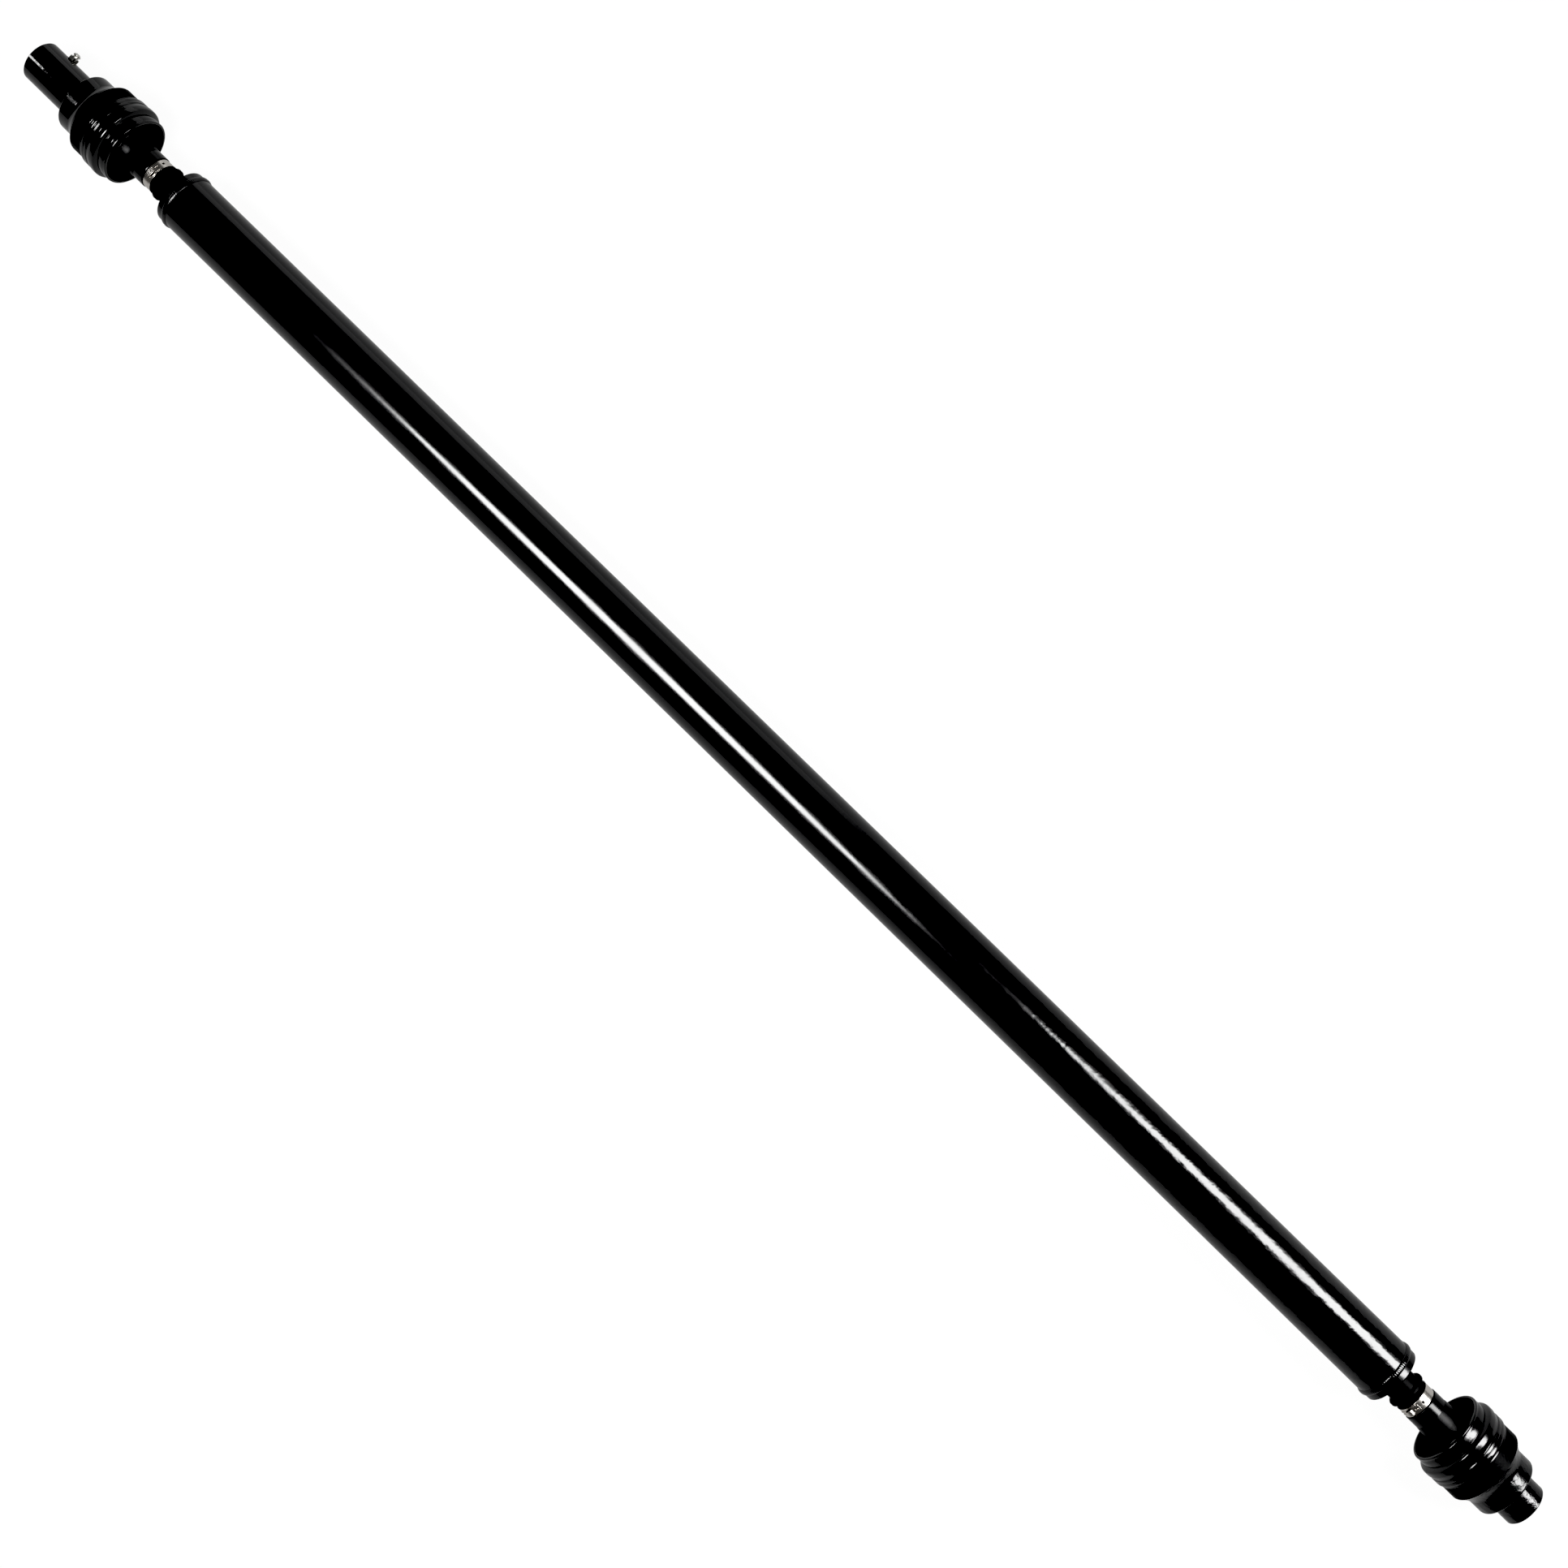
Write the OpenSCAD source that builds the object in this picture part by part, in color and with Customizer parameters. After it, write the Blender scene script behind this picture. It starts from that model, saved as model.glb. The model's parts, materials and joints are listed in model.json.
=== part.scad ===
// Universal joint shaft: a long welded tube with an enclosed constant-velocity
// ball joint at each end. A splined hub on each joint slides over a gearbox shaft.
// The shaft lies along X. The long hub with the grease fitting is at the -X end.
// Each joint is drawn in its own frame: joint centre at 0, hub towards +X.

/* [Tube] */
// Length between the middles of the two weld beads
tube_span = 1366; // [300:1:2200]
// Outer diameter of the tube
tube_d = 50.8; // [50:0.1:52]
// Wall thickness of the tube
tube_wall = 2.1; // [1.6:0.1:2.4]
// Height of a weld bead above the tube
bead_height = 1.4; // [0.8:0.1:2]
// Width of a weld bead along the shaft
bead_width = 5; // [3:0.1:6]

/* [Ball joint] */
// Radius of the circle that the six ball centres lie on
pitch_r = 22; // [22:0.1:22.4]
// Diameter of a ball
ball_d = 15; // [14.6:0.1:15]
// Clearance between a ball and its track
track_gap = 0.35; // [0.3:0.01:0.45]
// Clearance between a ball and its cage window, along the shaft
window_gap = 0.06; // [0.03:0.01:0.09]
// Radius of the ball-shaped outside of the inner race
inner_race_r = 18.6; // [18.2:0.1:18.7]
// Clearance between the cage and either race
cage_gap = 0.4; // [0.35:0.01:0.5]
// Width of the inner race along the shaft
inner_race_w = 21; // [19:0.1:21]
// Width of the cage along the shaft
cage_w = 20; // [19.5:0.1:20.5]

/* [Outer race and hubs] */
// Outer diameter of the outer race beside the boot can
race_d = 68.4; // [68:0.1:69]
// Diameter of the neck that holds the hub
neck_d = 55; // [52:0.5:58]
// Outer diameter of the splined hubs
hub_d = 37.6; // [37:0.1:39]
// Length of the front hub outside the neck
front_hub_reach = 53.4; // [45:0.1:90]
// Length of the rear hub outside the neck
rear_hub_reach = 19.5; // [17:0.1:90]
// Diameter of the smooth pilot bore at a hub's mouth
pilot_d = 28.6; // [28.4:0.1:29]
// Length of the pilot bore
pilot_len = 9; // [7:0.1:9]
// Number of internal spline teeth in a hub
hub_teeth = 24; // [18:1:30]
// Distance of the grease fitting from the front hub's mouth
fitting_inset = 20; // [17:0.1:24]

/* [Boot and boot can] */
// Outer diameter of the boot's sleeve
sleeve_d = 30.6; // [30:0.1:31]
// Wall thickness of the boot
boot_wall = 1.6; // [1.2:0.1:1.8]
// Inner diameter of the can at its rim
rim_bore_d = 62.2; // [62:0.1:62.6]
// Wall thickness of the can at its rim
can_wall = 1.2; // [1:0.1:1.4]
// Width of the boot clamp's band
clamp_w = 8; // [6:0.1:8]
// Thickness of the clamp's band
clamp_t = 0.9; // [0.6:0.1:1.1]
// Turn of the front clamp's ear from straight up, towards -Y
front_ear_turn = 10; // [0:1:90]
// Turn of the rear clamp's ear from straight up, towards -Y
rear_ear_turn = 44; // [0:1:90]

/* [Hidden] */
$fn = 96;
tiny = 0.01;
far = 60;

// Stations along a joint's own X axis
bead_x = -90.7;
cap_face_x = bead_x + 8;
collar_x = -68.9;
collar_end_x = -63;
boot_end_x = -62.2;
clamp_x = -61.2;
seat_end_x = -52;
sleeve_end_x = -31;
rim_x = -27;
shoulder_x = -17.5;
can_step_x = -16.7;
race_mouth_x = can_step_x + can_wall;
swage_1_end_x = -9.6;
swage_2_x = -6;
swage_2_end_x = -0.7;
can_end_x = 2;
cone_x = 14;
neck_x = 25;
neck_end_x = 37.3;
cavity_floor_x = 18;
plug_x = 23;
hub_inner_x = 26;
spline_floor_x = 28;
stub_tip_x = 13;

// Where the two joints sit on the whole shaft
front_mouth_x = neck_end_x + front_hub_reach;
rear_mouth_x = neck_end_x + rear_hub_reach;
mid_shift = (front_mouth_x - rear_mouth_x) / 2;
joint_span = tube_span - 2 * bead_x;
front_x = mid_shift - joint_span / 2;
rear_x = mid_shift + joint_span / 2;

// Radii that follow from the driving dimensions
tube_r = tube_d / 2;
tube_bore_r = tube_r - tube_wall;
cap_r = tube_r - 0.2;
ball_r = ball_d / 2;
track_r = ball_r + track_gap;
cage_in_r = inner_race_r + cage_gap;
cage_out_r = 24.6;
cavity_r = cage_out_r + cage_gap;
race_r = race_d / 2;
race_seat_r = race_r - 0.2;
neck_r = neck_d / 2;
hub_r = hub_d / 2;
pilot_r = pilot_d / 2;
sleeve_r = sleeve_d / 2;
sleeve_bore_r = sleeve_r - boot_wall;
seat_r = sleeve_bore_r - 0.7;
clamp_seat_r = sleeve_r - 1.3;
shaft_r = 12.2;
neck_shaft_r = 13.3;
rim_bore_r = rim_bore_d / 2;
rim_r = rim_bore_r + can_wall;
swage_1_r = race_seat_r + 2;
groove_r = race_seat_r + 1.1;
swage_2_r = race_seat_r + 1.5;

// Ball tracks and cage windows
ball_turns = [30, 90, 150, 210, 270, 330];
blind_track_angle = 38;
open_track_angle = 52;
window_slack = 0.8;

// Splines
stub_teeth = 20;
stub_root_r = 9.7;
stub_tip_r = 10.6;
stub_spline_gap = 0.04;
hub_minor_r = 12.5;
hub_major_r = 13.7;

// Retaining ring behind the inner race
circlip_x = inner_race_w / 2 + 0.1;
circlip_t = 1.2;
circlip_in_r = 9.2;
circlip_out_r = 11.4;

// Rubber rings
hub_seal_r = 1.25;
hub_groove_w = 3;
can_seal_r = 0.8;
can_groove_x = -12.6;

// Grease fitting, standing on the front hub
fitting_x = front_mouth_x - fitting_inset;
fitting_seat = hub_r - 0.5;
fitting_hex_top = fitting_seat + 4.2;
fitting_tip = hub_r + 7.6;
fitting_stem_r = 3;
fitting_hex_d = 9.2;
fitting_bore_r = 1.6;
check_ball_r = 1.2;
check_seat_r = 1;
check_seat = fitting_tip - 1.2;
check_ball_at = check_seat - 0.75;
spring_r = 1.2;
spring_wire_r = 0.18;
spring_foot = fitting_seat - 4;
spring_top = check_ball_at - check_ball_r - 0.1;
spring_turns = 6;

// ---- Places and helpers ----

// The front joint faces -X, the rear joint faces +X.
module at_front() {
    translate([front_x, 0, 0]) rotate([0, 0, 180]) children();
}

module at_rear() {
    translate([rear_x, 0, 0]) children();
}

// Points on an oval arc; angles in degrees, in the [radius, x] plane of a profile.
function oval(centre, reach, depth, from, to, steps) =
    [for (i = [0:steps]) let (a = from + (to - from) * i / steps)
        [centre[0] + reach * cos(a), centre[1] + depth * sin(a)]];

// The same on a round arc.
function arc(centre, r, from, to, steps) = oval(centre, r, r, from, to, steps);

// Turns a profile of [radius, x] points around the X axis.
module turned(points) {
    rotate([0, 90, 0]) rotate_extrude() polygon(points);
}

// A cylinder along X between two stations.
module rod(r, x0, x1) {
    translate([x0, 0, 0]) rotate([0, 90, 0]) cylinder(r = r, h = x1 - x0);
}

// A block that keeps what lies between two stations.
module slab(x0, x1) {
    translate([x0, -far, -far]) cube([x1 - x0, 2 * far, 2 * far]);
}

// Extrudes a flat outline along X between two stations.
module along_x(x0, x1) {
    translate([x0, 0, 0]) rotate([90, 0, 90]) linear_extrude(height = x1 - x0) children();
}

// Puts children, drawn at +Y, at each ball's turn around the shaft.
module around(turns) {
    for (turn = turns) rotate([turn, 0, 0]) children();
}

// Straight-sided spline outline.
module spline_outline(root_r, tip_r, teeth) {
    pitch = 360 / teeth;
    polygon([for (i = [0:teeth - 1], corner = [[0, root_r], [0.36, root_r], [0.48, tip_r], [0.88, tip_r]])
        let (a = (i + corner[0]) * pitch) corner[1] * [cos(a), sin(a)]]);
}

// One ring of round section around the X axis.
module round_ring(ring_r, section_r, x) {
    translate([x, 0, 0]) rotate([0, 90, 0]) rotate_extrude() translate([ring_r, 0]) circle(r = section_r);
}

// The six curved grooves that the balls roll in, concentric with the joint.
// They run by these angles from the ball plane towards the hub and the boot.
module ball_tracks(to_hub, to_boot) {
    around(ball_turns)
        rotate([0, 0, 90 - to_hub])
            rotate_extrude(angle = to_hub + to_boot)
                translate([pitch_r, 0]) circle(r = track_r);
}

// ---- Shaft: tube, welds, stub shafts ----

module shaft_tube() {
    color("#17181a") translate([mid_shift, 0, 0])
        turned([
            [tube_bore_r, -tube_span / 2],
            [tube_bore_r + 0.6, -tube_span / 2],
            [tube_r, bead_width / 2 - tube_span / 2],
            [tube_r, tube_span / 2 - bead_width / 2],
            [tube_bore_r + 0.6, tube_span / 2],
            [tube_bore_r, tube_span / 2]
        ]);
}

module tube_weld() {
    half = bead_width / 2;
    crown = bead_height;
    color("#1a1b1d") turned(concat(
        [[tube_bore_r + 0.6, bead_x], [tube_r, bead_x - half]],
        [for (a = [150:-15:30]) [tube_r + crown * sin(a), bead_x + half * cos(a)]],
        [[cap_r, bead_x + half]]
    ));
}

// Welded end plug, necked shaft, collar, boot seat and splined end, in one forging.
module stub_shaft() {
    half = bead_width / 2;
    fillet = 3;
    color("#17181a") difference() {
        union() {
            turned(concat(
                [
                    [0, bead_x - 12],
                    [tube_bore_r - 1, bead_x - 12],
                    [tube_bore_r, bead_x - 11],
                    [tube_bore_r, bead_x],
                    [tube_bore_r + 0.6, bead_x],
                    [cap_r, bead_x + half]
                ],
                arc([cap_r - 0.8, cap_face_x - 0.8], 0.8, 0, 90, 4),
                arc([neck_shaft_r + fillet, cap_face_x + fillet], fillet, 270, 180, 6),
                [
                    [neck_shaft_r, collar_x],
                    [seat_r + 2.75, collar_x],
                    [seat_r + 3.25, collar_x + 0.5],
                    [seat_r + 3.25, collar_x + 2.4],
                    [shaft_r, collar_end_x],
                    [shaft_r, boot_end_x - 0.5],
                    [seat_r, boot_end_x],
                    [seat_r, seat_end_x],
                    [shaft_r, seat_end_x + 1.5],
                    [shaft_r, -17],
                    [stub_root_r, -13],
                    [stub_root_r, stub_tip_x - 1],
                    [stub_root_r - 1, stub_tip_x],
                    [0, stub_tip_x]
                ]
            ));
            along_x(-inner_race_w / 2, stub_tip_x - 1) spline_outline(stub_root_r, stub_tip_r, stub_teeth);
        }
        // Lightening cup inside the tube end
        turned([[0, bead_x - 13], [19, bead_x - 13], [16, bead_x - 2], [0, bead_x - 1]]);
        // Groove for the retaining ring
        difference() {
            rod(far, circlip_x - 0.05, circlip_x + circlip_t + 0.05);
            rod(circlip_in_r, circlip_x - 1, circlip_x + circlip_t + 1);
        }
    }
}

// ---- Ball joint ----

module inner_race() {
    half = inner_race_w / 2;
    color("silver") difference() {
        intersection() {
            sphere(r = inner_race_r);
            slab(-half, half);
        }
        ball_tracks(open_track_angle, open_track_angle);
        along_x(-half - 1, half + 1)
            spline_outline(stub_root_r + stub_spline_gap, stub_tip_r + stub_spline_gap, stub_teeth);
    }
}

module race_circlip() {
    color("dimgray") translate([circlip_x, 0, 0]) rotate([0, 90, 0]) rotate([0, 0, 15])
        rotate_extrude(angle = 330)
            translate([circlip_in_r, 0]) square([circlip_out_r - circlip_in_r, circlip_t]);
}

module cage() {
    window_half = ball_r + window_gap;
    color("silver") difference() {
        intersection() {
            sphere(r = cage_out_r);
            slab(-cage_w / 2, cage_w / 2);
        }
        sphere(r = cage_in_r);
        around(ball_turns) translate([-window_half, 0, -window_half - window_slack])
            cube([2 * window_half, far, 2 * (window_half + window_slack)]);
    }
}

module balls(turns) {
    color("lightsteelblue") around(turns) translate([0, pitch_r, 0]) sphere(r = ball_r);
}

// Bell that holds the outer tracks, with the concave cone and the neck behind it.
module outer_race() {
    cone_len = neck_x - cone_x;
    cone_drop = race_r - neck_r;
    edge = 2;
    color("#1c1d1f") difference() {
        turned(concat(
            [
                [0, race_mouth_x],
                [race_seat_r - 0.8, race_mouth_x],
                [race_seat_r, race_mouth_x + 0.8],
                [race_seat_r, -0.4],
                [race_seat_r - 0.6, 0.6],
                [race_seat_r - 0.6, can_end_x],
                [race_r, can_end_x]
            ],
            [for (i = [0:8]) let (t = i / 8)
                [race_r - cone_drop * (1 - pow(1 - t, 1.6)), cone_x + cone_len * t]],
            arc([neck_r - edge, neck_end_x - edge], edge, 0, 90, 6),
            [[0, neck_end_x]]
        ));
        intersection() {
            sphere(r = cavity_r);
            slab(-far, cavity_floor_x);
        }
        // Lead-in at the mouth
        turned([[0, race_mouth_x - tiny], [cavity_r + 1, race_mouth_x - tiny], [19, race_mouth_x + 4], [0, race_mouth_x + 4]]);
        ball_tracks(blind_track_angle, open_track_angle);
        rod(15, 0, plug_x - 2);
        rod(14, 0, hub_inner_x + 1);
        rod(hub_r, hub_inner_x, neck_end_x + 1);
        // Groove for the can's rubber ring
        difference() {
            rod(far, can_groove_x - can_seal_r - 0.2, can_groove_x + can_seal_r + 0.2);
            rod(race_seat_r - 2 * can_seal_r, can_groove_x - 3, can_groove_x + 3);
        }
    }
}

module spline_hub(mouth_x, fitting_at) {
    bevel = 0.8;
    spline_end_x = mouth_x - pilot_len - hub_groove_w;
    color("#1a1b1d") difference() {
        turned([
            [0, hub_inner_x],
            [hub_r - bevel, hub_inner_x],
            [hub_r, hub_inner_x + bevel],
            [hub_r, mouth_x - bevel],
            [hub_r - bevel, mouth_x],
            [0, mouth_x]
        ]);
        rod(pilot_r, mouth_x - pilot_len, mouth_x + 1);
        rod(pilot_r + 2 * hub_seal_r, spline_end_x, mouth_x - pilot_len);
        along_x(spline_floor_x, spline_end_x + tiny) spline_outline(hub_minor_r, hub_major_r, hub_teeth);
        if (fitting_at > 0) translate([fitting_at, 0, 0]) rotate([90, 0, 0]) {
            cylinder(r = fitting_stem_r, h = far);
            translate([0, 0, fitting_seat]) cylinder(r = fitting_hex_d / 2 + 0.4, h = far);
        }
    }
}

module grease_plug() {
    dish = 1;
    color("gray") turned([
        [0, plug_x + dish],
        [8, plug_x + dish],
        [10, plug_x],
        [14, plug_x],
        [14, plug_x + 2],
        [10, plug_x + 2],
        [8, plug_x + 2 + dish],
        [0, plug_x + 2 + dish]
    ]);
}

module hub_seal(mouth_x) {
    color("#111111") round_ring(pilot_r + hub_seal_r, hub_seal_r, mouth_x - pilot_len - hub_groove_w / 2);
}

module can_seal() {
    color("#111111") round_ring(race_seat_r - can_seal_r, can_seal_r, can_groove_x);
}

// ---- Boot, can and clamp ----

// Stamped can: rolled lip, rim, shoulder, two swaged rings and a crimped end.
module boot_can() {
    lip_r = rim_bore_r - 0.9;
    swage = 0.8;
    color("#1c1d1f") turned(concat(
        [
            [race_seat_r, race_mouth_x + 0.8],
            [race_seat_r - 0.8, race_mouth_x],
            [rim_bore_r, race_mouth_x],
            [rim_bore_r, rim_x + 1.2],
            [lip_r, rim_x + 1]
        ],
        arc([lip_r + 0.5, rim_x + 0.5], 0.5, 180, 270, 4),
        arc([rim_r - 0.6, rim_x + 0.6], 0.6, 270, 360, 4),
        [[rim_r, shoulder_x]],
        arc([swage_1_r - 2, can_step_x + 2], 2, 300, 360, 6),
        arc([swage_1_r - swage, swage_1_end_x - swage], swage, 0, 90, 4),
        [
            [groove_r, swage_1_end_x + 0.2],
            [groove_r, swage_2_x]
        ],
        arc([swage_2_r - 0.4, swage_2_x + 0.4], 0.4, 270, 360, 4),
        arc([swage_2_r - swage, swage_2_end_x - swage], swage, 0, 60, 4),
        [
            [race_r + 0.3, can_end_x - 0.8],
            [race_r, can_end_x],
            [race_seat_r - 0.6, can_end_x],
            [race_seat_r - 0.6, 0.6],
            [race_seat_r, -0.4]
        ]
    ));
}

// Rolled rubber boot: clamped sleeve, inner leg, fold, and a bead inside the can's rim.
module boot() {
    bead_r = rim_bore_r - 0.15;
    inner_leg_r = sleeve_r + 1.5;
    fold_reach = (bead_r - inner_leg_r) / 2;
    fold_depth = 4.6;
    fold_centre = [bead_r - fold_reach, rim_x + 3.2];
    color("#0e0e0f") turned(concat(
        [
            [seat_r, boot_end_x],
            [clamp_seat_r + 0.8, boot_end_x],
            [clamp_seat_r + 0.8, clamp_x - 0.2],
            [clamp_seat_r, clamp_x - 0.2],
            [clamp_seat_r, clamp_x + clamp_w + 0.2],
            [sleeve_r - 0.4, clamp_x + clamp_w + 0.2],
            [sleeve_r, clamp_x + clamp_w + 0.6],
            [sleeve_r, sleeve_end_x],
            [inner_leg_r + boot_wall, fold_centre[1]]
        ],
        oval(fold_centre, fold_reach - boot_wall, fold_depth - boot_wall, 180, 0, 16),
        [
            [bead_r - 1.9, rim_x + 3],
            [bead_r - 1.9, rim_x + 1.5],
            [bead_r, rim_x + 1.5]
        ],
        oval(fold_centre, fold_reach, fold_depth, 0, 180, 16),
        [
            [sleeve_bore_r, sleeve_end_x],
            [sleeve_bore_r, seat_end_x + 1],
            [seat_r, seat_end_x]
        ]
    ));
}

// Band around the boot with a raised, pinched ear.
module boot_clamp(ear_turn) {
    ear_w = 6.4;
    ear_h = 2.7;
    band_r = clamp_seat_r + clamp_t;
    color("#c9c5bc") {
        difference() {
            rod(band_r, clamp_x, clamp_x + clamp_w);
            rod(clamp_seat_r, clamp_x - 1, clamp_x + clamp_w + 1);
        }
        rotate([ear_turn, 0, 0]) difference() {
            along_x(clamp_x, clamp_x + clamp_w) polygon([
                [-ear_w / 2, clamp_seat_r + 0.2],
                [ear_w / 2, clamp_seat_r + 0.2],
                [ear_w / 2 - 1.2, band_r + ear_h],
                [1.2 - ear_w / 2, band_r + ear_h]
            ]);
            along_x(clamp_x - 1, clamp_x + clamp_w + 1) polygon([
                [1 - ear_w / 2, band_r],
                [ear_w / 2 - 1, band_r],
                [ear_w / 2 - 1.9, band_r + ear_h - clamp_t],
                [1.9 - ear_w / 2, band_r + ear_h - clamp_t]
            ]);
            rod(clamp_seat_r, clamp_x - 1, clamp_x + clamp_w + 1);
        }
    }
}

// ---- Grease fitting ----

// Stands its children up on the front hub, with +Z pointing away from the shaft.
module at_fitting() {
    at_front() translate([fitting_x, 0, 0]) rotate([90, 0, 0]) children();
}

module grease_fitting() {
    head_r = 3.3;
    color("#d8d6d0") at_fitting() difference() {
        union() {
            translate([0, 0, spring_foot - 0.6]) cylinder(r = fitting_stem_r, h = fitting_seat - spring_foot + 1);
            translate([0, 0, fitting_seat]) cylinder(d = fitting_hex_d, h = fitting_hex_top - fitting_seat, $fn = 6);
            rotate_extrude() polygon([
                [0, fitting_hex_top - 0.5],
                [2.5, fitting_hex_top - 0.5],
                [2.5, fitting_hex_top + 0.5],
                [head_r, fitting_hex_top + 1.3],
                [head_r, fitting_tip - 1.4],
                [head_r - 1.3, fitting_tip],
                [0, fitting_tip]
            ]);
        }
        translate([0, 0, spring_foot]) cylinder(r = fitting_bore_r, h = check_seat - spring_foot);
        translate([0, 0, spring_foot - 1]) cylinder(r = check_seat_r, h = fitting_tip - spring_foot + 2);
    }
}

module grease_check_ball() {
    color("silver") at_fitting() translate([0, 0, check_ball_at]) sphere(r = check_ball_r);
}

// Coil spring under the check ball, swept as one closed tube.
module grease_spring() {
    sides = 6;
    rings = 12 * spring_turns;
    rise = spring_top - spring_foot - 2 * spring_wire_r;
    points = [for (i = [0:rings], k = [0:sides - 1])
        let (a = 360 * spring_turns * i / rings, b = 360 * k / sides,
            reach = spring_r + spring_wire_r * cos(b))
        [reach * cos(a), reach * sin(a), spring_foot + spring_wire_r + rise * i / rings + spring_wire_r * sin(b)]];
    walls = [for (i = [0:rings - 1], k = [0:sides - 1])
        let (next = (k + 1) % sides)
        [i * sides + k, (i + 1) * sides + k, (i + 1) * sides + next, i * sides + next]];
    ends = [
        [for (k = [0:sides - 1]) k],
        [for (k = [sides - 1:-1:0]) rings * sides + k]
    ];
    color("silver") at_fitting() polyhedron(points, concat(walls, ends));
}

// ---- One line for each sub-part ----

shaft_tube();

at_front() tube_weld();  // front_tube_weld
at_front() stub_shaft();  // front_stub_shaft
at_front() inner_race();  // front_inner_race
at_front() race_circlip();  // front_race_circlip
at_front() boot_clamp(-front_ear_turn);  // front_boot_clamp
at_front() boot();  // front_boot
at_front() cage();  // front_cage
at_front() balls([30, 150, 210, 330]);  // front_side_balls
at_front() balls([90]);  // front_top_ball
at_front() balls([270]);  // front_bottom_ball
at_front() outer_race();  // front_outer_race
at_front() spline_hub(front_mouth_x, fitting_x);  // front_spline_hub
at_front() boot_can();  // front_boot_can
at_front() can_seal();  // front_can_seal
at_front() grease_plug();  // front_grease_plug
at_front() hub_seal(front_mouth_x);  // front_hub_seal

grease_fitting();
grease_check_ball();
grease_spring();

at_rear() tube_weld();  // rear_tube_weld
at_rear() stub_shaft();  // rear_stub_shaft
at_rear() inner_race();  // rear_inner_race
at_rear() race_circlip();  // rear_race_circlip
at_rear() boot_clamp(rear_ear_turn);  // rear_boot_clamp
at_rear() boot();  // rear_boot
at_rear() cage();  // rear_cage
at_rear() balls([30, 150, 210, 330]);  // rear_side_balls
at_rear() balls([90]);  // rear_top_ball
at_rear() balls([270]);  // rear_bottom_ball
at_rear() outer_race();  // rear_outer_race
at_rear() spline_hub(rear_mouth_x, 0);  // rear_spline_hub
at_rear() boot_can();  // rear_boot_can
at_rear() can_seal();  // rear_can_seal
at_rear() grease_plug();  // rear_grease_plug
at_rear() hub_seal(rear_mouth_x);  // rear_hub_seal
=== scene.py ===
"""Looks for the universal joint shaft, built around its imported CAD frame.

Metres, in the frame's own axes: X along the shaft, +Y where the grease fitting points, +Z up.
A station is a distance from a joint's centre along the shaft, positive towards its hub.
"""

import json
import math

import bmesh
import bpy
from mathutils import Matrix, Vector, noise


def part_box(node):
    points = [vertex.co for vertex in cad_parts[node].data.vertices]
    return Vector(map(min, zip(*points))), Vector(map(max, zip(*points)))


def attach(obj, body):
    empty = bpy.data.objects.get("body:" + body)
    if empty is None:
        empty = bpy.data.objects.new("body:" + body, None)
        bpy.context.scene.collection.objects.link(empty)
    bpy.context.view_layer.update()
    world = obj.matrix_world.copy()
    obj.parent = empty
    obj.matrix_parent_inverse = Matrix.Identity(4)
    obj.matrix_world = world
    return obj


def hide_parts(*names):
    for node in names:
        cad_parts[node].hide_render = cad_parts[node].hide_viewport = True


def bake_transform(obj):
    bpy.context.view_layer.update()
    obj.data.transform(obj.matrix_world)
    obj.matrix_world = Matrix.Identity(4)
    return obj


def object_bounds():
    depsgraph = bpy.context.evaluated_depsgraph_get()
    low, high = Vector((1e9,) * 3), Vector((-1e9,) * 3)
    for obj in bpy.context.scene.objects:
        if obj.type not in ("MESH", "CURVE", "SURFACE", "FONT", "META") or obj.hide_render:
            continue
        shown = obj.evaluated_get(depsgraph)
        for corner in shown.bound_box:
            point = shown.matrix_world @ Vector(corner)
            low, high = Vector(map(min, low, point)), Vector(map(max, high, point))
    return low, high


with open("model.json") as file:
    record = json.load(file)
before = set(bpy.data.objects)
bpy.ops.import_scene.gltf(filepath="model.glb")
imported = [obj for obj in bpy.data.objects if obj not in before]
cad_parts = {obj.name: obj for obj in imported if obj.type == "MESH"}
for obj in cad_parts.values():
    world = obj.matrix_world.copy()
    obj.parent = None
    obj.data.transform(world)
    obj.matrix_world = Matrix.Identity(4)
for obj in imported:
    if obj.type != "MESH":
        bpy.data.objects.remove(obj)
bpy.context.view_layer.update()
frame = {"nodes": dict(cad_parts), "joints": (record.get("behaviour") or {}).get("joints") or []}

MM = 0.001
ROUND_STEPS = 224


# ---------------------------------------------------------------- the frame's own sizes

class End:
    """One end of the shaft: its joint's centre, the way its hub faces, and its names and sizes."""

    def __init__(self, name):
        self.name = name
        joint = next(j for j in frame["joints"] if j["name"] == f"{name}_yaw")
        self.centre = joint["pos_m"][0]
        low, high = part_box(self.node("spline_hub"))
        self.side = 1 if (low.x + high.x) / 2 > self.centre else -1

    def node(self, part):
        """The frame's name for this end's part, whether that is a node or a body."""
        return f"{self.name}_{part}"

    body = node

    def x_at(self, station):
        return self.centre + self.side * station

    def span(self, part):
        """A node's lowest and highest station, and its outer radius."""
        low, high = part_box(self.node(part))
        stations = sorted(self.side * (x - self.centre) for x in (low.x, high.x))
        return stations[0], stations[1], (high.z - low.z) / 2

    def place(self, station, radius, turn):
        """A point at a station, turned from +Z towards -Y."""
        return Vector((self.x_at(station), -radius * math.sin(turn), radius * math.cos(turn)))


ENDS = [End("front"), End("rear")]


# ---------------------------------------------------------------- mesh helpers

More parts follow.
